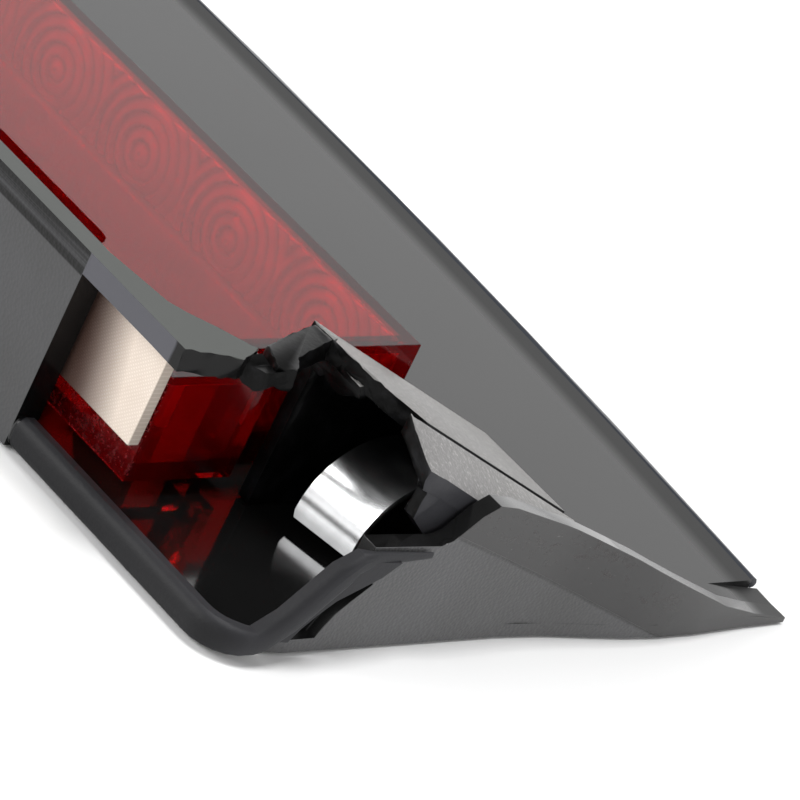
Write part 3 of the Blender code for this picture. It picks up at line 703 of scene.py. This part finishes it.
def lens_optics(finish):
    """Ringed plate on the inner side of the lens's front wall."""
    step = 0.3 * MM
    depth = 0.55 * MM
    skin = 0.15 * MM
    back = LENS_HIGH[1] - LENS_WALL - 0.05 * MM
    low_x = -LENS_END + LENS_WALL + 0.2 * MM
    low_z = LENS_LOW[2] + LENS_WALL + 0.1 * MM
    high_z = LENS_HIGH[2] - LENS_WALL - 0.1 * MM
    columns = int(-2 * low_x / step)
    rows = int((high_z - low_z) / step)
    form = bmesh.new()
    grid = []
    for row in range(rows + 1):
        z = low_z + (high_z - low_z) * row / rows
        line = []
        for column in range(columns + 1):
            x = low_x * (1 - 2 * column / columns)
            line.append(form.verts.new((x, back - skin - depth * ring_height(x, z), z)))
        grid.append(line)
    for row in range(rows):
        for column in range(columns):
            form.faces.new((grid[row][column], grid[row][column + 1],
                            grid[row + 1][column + 1], grid[row + 1][column]))
    rim = [edge for edge in form.edges if edge.is_boundary]
    made = bmesh.ops.extrude_edge_only(form, edges=rim)
    loop = [item for item in made["geom"] if isinstance(item, bmesh.types.BMVert)]
    for vert in loop:
        vert.co.y = back
    bmesh.ops.contextual_create(form, geom=[e for e in form.edges if e.is_boundary])
    bmesh.ops.recalc_face_normals(form, faces=form.faces)
    return make("lens_optics", form, finish, smooth=60)


def lens_pieces():
    """The clear shell and the ringed plate behind its front wall."""
    rounded("lens", 0.25 * MM, lens_plastic())
    lens_optics(optics_plastic())


# ---------------------------------------------------------------- steel clips

def clip_path(leaf_low, leaf_high, foot_low, foot_high):
    """The strip's middle line as (y, z) points from toe to foot, and the arch's centre and radius."""
    thick = foot_high[2] - foot_low[2]
    foot_z = (foot_low[2] + foot_high[2]) / 2
    radius = (leaf_high[1] - leaf_low[1] - thick) / 2
    centre = Vector((leaf_low[1] + thick / 2 + radius, leaf_high[2] - thick / 2 - radius))
    rise = math.asin((foot_z - centre.y) / radius)
    path = [(centre.x - radius, leaf_low[2] + 0.1 * MM)]
    arch_steps = 40
    for step in range(arch_steps + 1):
        angle = math.pi + (rise + 0.2 - math.pi) * step / arch_steps
        path.append((centre.x + radius * math.cos(angle), centre.y + radius * math.sin(angle)))
    # a short curve leads from the arch into the flat foot
    end = Vector(path[-1])
    bend = Vector((end.x + 0.15 * MM, foot_z))
    goal = Vector((bend.x + 1.4 * MM, foot_z))
    bend_steps = 8
    for step in range(1, bend_steps + 1):
        share = step / bend_steps
        path.append(tuple(end.lerp(bend, share).lerp(bend.lerp(goal, share), share)))
    path.append((foot_high[1], foot_z))
    return [Vector(point) for point in path], centre, radius


def clip_section(half, thick):
    """The strip's outline as (x, depth) points, with its four long edges cut off."""
    edge = 0.16 * MM
    sunk = thick / 2 - edge
    return ((-half, -sunk), (-half + edge, -thick / 2), (half - edge, -thick / 2), (half, -sunk),
            (half, sunk), (half - edge, thick / 2), (-half + edge, thick / 2), (-half, sunk))


def clip_strip(tag, side, finish):
    """One bent strip from its toe over the arch to its screwed foot."""
    leaf_low, leaf_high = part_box("clip_leaf_" + tag)
    foot_low, foot_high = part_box("clip_foot_" + tag)
    middle_x = (leaf_low[0] + leaf_high[0]) / 2
    half = (leaf_high[0] - leaf_low[0]) / 2
    points, centre, radius = clip_path(leaf_low, leaf_high, foot_low, foot_high)
    section = clip_section(half, foot_high[2] - foot_low[2])
    twist = math.radians(13)          # the toe is turned by this much and the foot not at all
    toe_taper = 0.93
    last = len(points) - 1
    form = bmesh.new()
    rings = []
    for index, here in enumerate(points):
        along = (points[min(index + 1, last)] - points[max(index - 1, 0)]).normalized()
        normal = Vector((-along.y, along.x))
        taper = toe_taper if index == 0 else 1.0
        turned = twist * (1 - index / last) ** 0.5
        ring = []
        for x, depth in section:
            spot = here + normal * depth
            ring.append(form.verts.new((middle_x + x * taper * math.cos(turned),
                                        spot.x + side * x * math.sin(turned), spot.y)))
        rings.append(ring)
    close_rows(form, rings)
    piece = make("clip_strip_" + tag, form, finish, None, ("clip_leaf_" + tag, "clip_foot_" + tag),
                 smooth=30)
    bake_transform(piece)


# ---------------------------------------------------------------- small parts

def lamp_resin():
    """Clear resin with a slight straw tint."""
    n = Nodes("lamp_resin")
    n.feed("Base Color", n.mix(n.noise(900, 2), (0.95, 0.9, 0.8), (0.9, 0.8, 0.6)))
    n.set(Transmission_Weight=0.6, IOR=1.5, Roughness=0.08)
    return n.material


def lamp_domes(finish):
    """A clear resin dome on the front of every lamp."""
    for name in sorted(LED_NAMES):
        low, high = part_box(name)
        middle = Vector(((low[0] + high[0]) / 2, high[1], (low[2] + high[2]) / 2))
        radius = 0.36 * min(high[0] - low[0], high[2] - low[2])
        form = bmesh.new()
        bmesh.ops.create_uvsphere(form, u_segments=20, v_segments=10, radius=radius)
        bmesh.ops.bisect_plane(form, geom=form.verts[:] + form.edges[:] + form.faces[:], plane_co=(0, 0, 0),
                               plane_no=(0, 1, 0), clear_inner=True)
        rim = [edge for edge in form.edges if edge.is_boundary]
        bmesh.ops.contextual_create(form, geom=rim)
        for vert in form.verts:
            vert.co.y *= 0.7
            vert.co += middle
        bmesh.ops.recalc_face_normals(form, faces=form.faces)
        make("dome_" + name, form, finish, smooth=50)


def small_box(name, low, high, finish):
    """A box between two corners, with slightly rounded edges."""
    form = bmesh.new()
    bmesh.ops.create_cube(form, size=1.0)
    size = Vector(high) - Vector(low)
    middle = (Vector(high) + Vector(low)) / 2
    for vert in form.verts:
        vert.co = Vector((vert.co.x * size.x, vert.co.y * size.y, vert.co.z * size.z)) + middle
    return make(name, bevelled(form, 0.08 * MM), finish, weighted=True)


def component_details(metal_finish):
    """Solder ends on the chip resistors and the diode, and legs on the regulator."""
    chips = [name for name in sorted(frame["nodes"]) if name.startswith(("resistor", "diode"))]
    grow = 0.06 * MM
    for name in chips:
        low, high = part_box(name)
        wide = high[0] - low[0] > high[2] - low[2]
        axis = 0 if wide else 2
        length = (high[axis] - low[axis]) * 0.22
        for tag in ("a", "b"):
            first = [low[0] - grow, low[1] - grow, low[2] - grow]
            last = [high[0] + grow, high[1] + grow, high[2] + grow]
            if tag == "a":
                last[axis] = low[axis] + length
            else:
                first[axis] = high[axis] - length
            small_box("cap_" + name + "_" + tag, first, last, metal_finish)
    low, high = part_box("regulator")
    for index in range(3):
        x = low[0] + (high[0] - low[0]) * (0.2 + 0.3 * index)
        small_box("leg_" + str(index + 1), (x - 0.35 * MM, low[1], low[2] - 1.3 * MM),
                  (x + 0.35 * MM, low[1] + 0.3 * MM, low[2] + 0.2 * MM), metal_finish)


# ---------------------------------------------------------------- build

def build():
    """Make every finish, then every piece."""
    shroud = shroud_plastic()
    carrier_black = carrier_plastic()
    guard_black = guard_plastic()
    zinc = metal("zinc", (0.7, 0.7, 0.72), 0.25)
    bright = metal("spring_bright", (0.93, 0.94, 0.95), 0.14, 0.10, (1.0, 14.0, 14.0))
    smooth_black = plain_plastic("socket_black", (0.02, 0.02, 0.021), 0.3)
    body_black = plain_plastic("component_black", (0.025, 0.025, 0.025), 0.4)
    white = plain_plastic("white_plastic", (0.8, 0.79, 0.76), 0.35)
    rubber = plain_plastic("seal_rubber", (0.02, 0.024, 0.034), 0.32)
    board = laminate()

    shroud_piece(shroud)
    rounded("edge_seal", 0.1 * MM, rubber)
    carrier_piece(carrier_black)
    for tag, side in (("right", 1), ("left", -1)):
        guard_piece(tag, guard_black)
        torn_web(tag, side, guard_black)
        clip_strip(tag, side, bright)
        rounded("clip_screw_" + tag, 0.2 * MM, zinc)
    rounded("circuit_board", 0.12 * MM, board)
    for name in sorted(frame["nodes"]):
        if name.startswith("board_screw"):
            rounded(name, 0.2 * MM, zinc)
        elif name.startswith("connector_pin"):
            rounded(name, 0.12 * MM, zinc)
        elif name.startswith(("resistor", "regulator", "diode")):
            rounded(name, 0.1 * MM, body_black)
        elif name.startswith("led_"):
            rounded(name, 0.15 * MM, white)
    rounded("capacitor", 0.25 * MM, zinc)
    rounded("reflector", 0.2 * MM, white)
    rounded("connector_socket", 0.25 * MM, smooth_black)
    lamp_domes(lamp_resin())
    component_details(zinc)
    lens_pieces()


camera()
studio()
floor()
build()
